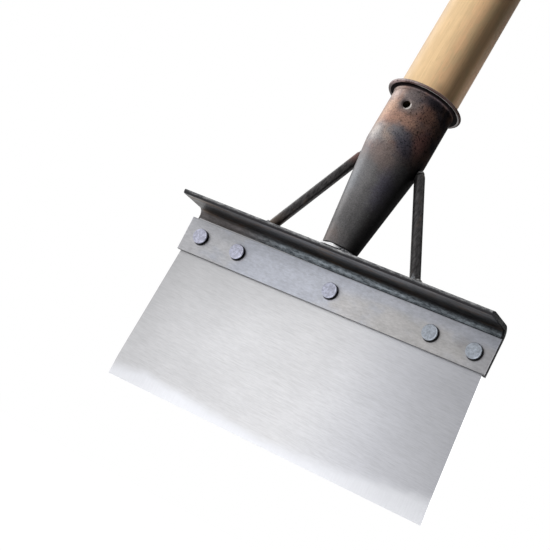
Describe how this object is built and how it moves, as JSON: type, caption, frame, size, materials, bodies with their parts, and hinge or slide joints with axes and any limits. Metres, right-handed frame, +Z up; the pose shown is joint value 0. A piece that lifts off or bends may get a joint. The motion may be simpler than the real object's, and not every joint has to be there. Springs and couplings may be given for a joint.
{
  "type": "square shovel",
  "caption": "Square scraping shovel: flat blade riveted between a clamp strip and an angle bar, with a braced conical socket and a long round wooden handle.",
  "frame": {"origin": "middle of the blade's cutting edge", "axes": "+X along the cutting edge to the right as seen from the front (the rivet-head side), +Y to the back, +Z up the blade towards the handle"},
  "size_m": [0.2072, 0.1743, 1.3107],
  "materials": {
    "blade_steel": "bright, finely brushed along the edge",
    "strip_steel": "satin, slightly mottled",
    "scaled_steel": "bare dark steel with rolling scale",
    "tinted_steel": "bare steel with brown and purple heat tint",
    "zinc": "plated, lightly scratched",
    "weld_metal": "bare weld bead",
    "ash_wood": "smooth pale wood, thinly oiled"
  },
  "bodies": {
    "root": {"blade": "blade_steel", "clamp_strip": "strip_steel", "angle_bar": "scaled_steel", "rivet_1": "zinc", "rivet_2": "zinc", "rivet_3": "zinc", "rivet_4": "zinc", "rivet_5": "zinc", "socket": "tinted_steel", "handle": "ash_wood", "socket_weld": "weld_metal", "brace_left": "scaled_steel", "brace_left_foot_weld": "weld_metal", "brace_left_head_weld": "weld_metal", "brace_right": "scaled_steel", "brace_right_foot_weld": "weld_metal", "brace_right_head_weld": "weld_metal"}
  },
  "joints": []
}
